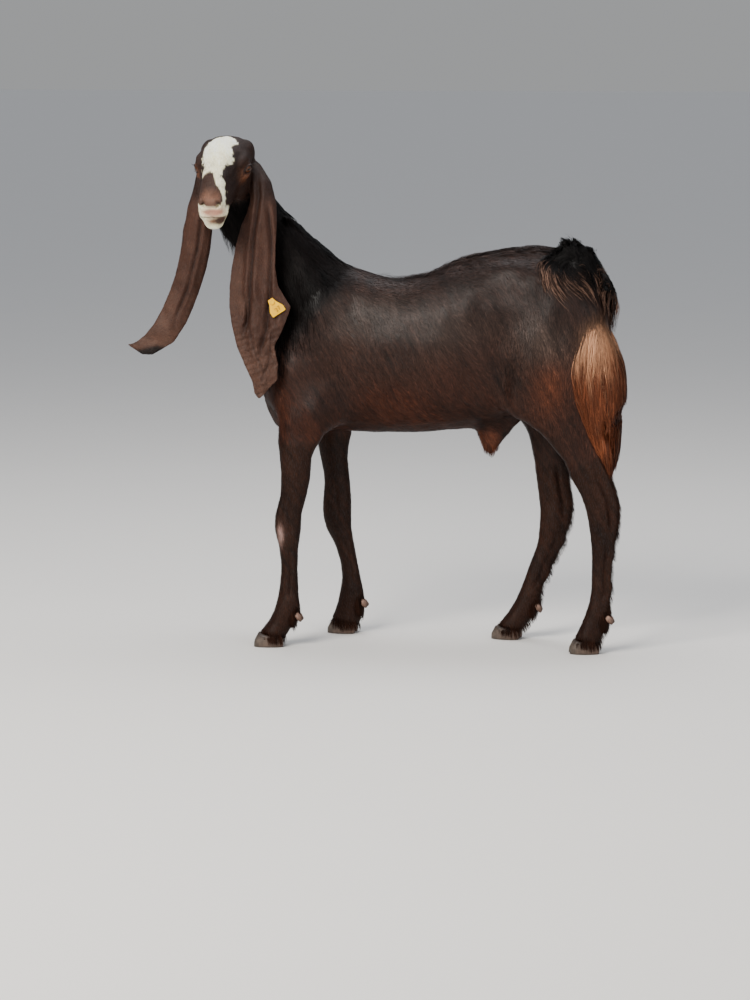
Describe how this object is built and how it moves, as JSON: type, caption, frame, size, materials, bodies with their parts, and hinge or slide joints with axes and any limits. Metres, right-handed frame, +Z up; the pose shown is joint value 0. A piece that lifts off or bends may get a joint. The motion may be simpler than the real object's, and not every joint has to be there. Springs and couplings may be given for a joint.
{
  "type": "billy goat",
  "caption": "Still life-size model of a standing long-eared billy goat, head turned to its left, tail raised, long fringe behind the thighs.",
  "frame": {"origin": "centre of the bounding box in plan, at floor level under the soles", "axes": "+Z up; the goat's body faces -X and its left side, to which the head is turned, is at -Y"},
  "size_m": [1.0664, 0.3604, 1.0733],
  "materials": {
    "coat": "short glossy black-brown hair",
    "neck_coat": "longer black hair",
    "face": "very short brown hair with a white blaze",
    "ear": "fine mauve-brown hair over soft skin",
    "breech": "long rust-coloured hair",
    "tail": "long black hair",
    "leg": "short black hair",
    "horn": "worn hoof horn",
    "dewclaw": "pale soft horn",
    "eye": "wet eye",
    "sheath": "short rust-brown hair",
    "tag": "plain moulded ear tag"
  },
  "bodies": {
    "root": {"claw_fore_left_inner": "horn", "claw_fore_left_outer": "horn", "claw_fore_right_inner": "horn", "claw_fore_right_outer": "horn", "claw_hind_left_inner": "horn", "claw_hind_left_outer": "horn", "claw_hind_right_inner": "horn", "claw_hind_right_outer": "horn", "dewclaw_fore_left_inner": "dewclaw", "dewclaw_fore_left_outer": "dewclaw", "dewclaw_fore_right_inner": "dewclaw", "dewclaw_fore_right_outer": "dewclaw", "dewclaw_hind_left_inner": "dewclaw", "dewclaw_hind_left_outer": "dewclaw", "dewclaw_hind_right_inner": "dewclaw", "dewclaw_hind_right_outer": "dewclaw", "ear_left": "ear", "ear_right": "ear", "ear_tag_button": "tag", "ear_tag_back": "tag", "ear_tag_panel": "tag", "eye_left": "eye", "eye_right": "eye", "fore_cannon_left": "leg", "fore_cannon_right": "leg", "fore_pastern_left": "leg", "fore_pastern_right": "leg", "forearm_left": "leg", "forearm_right": "leg", "head": "face", "hind_cannon_left": "leg", "hind_cannon_right": "leg", "hind_pastern_left": "leg", "hind_pastern_right": "leg", "neck": "neck_coat", "scrotum": "coat", "shank_left": "leg", "shank_right": "leg", "sheath": "sheath", "tail": "tail", "thigh_left": "coat", "thigh_right": "coat", "torso": "coat"}
  },
  "joints": []
}
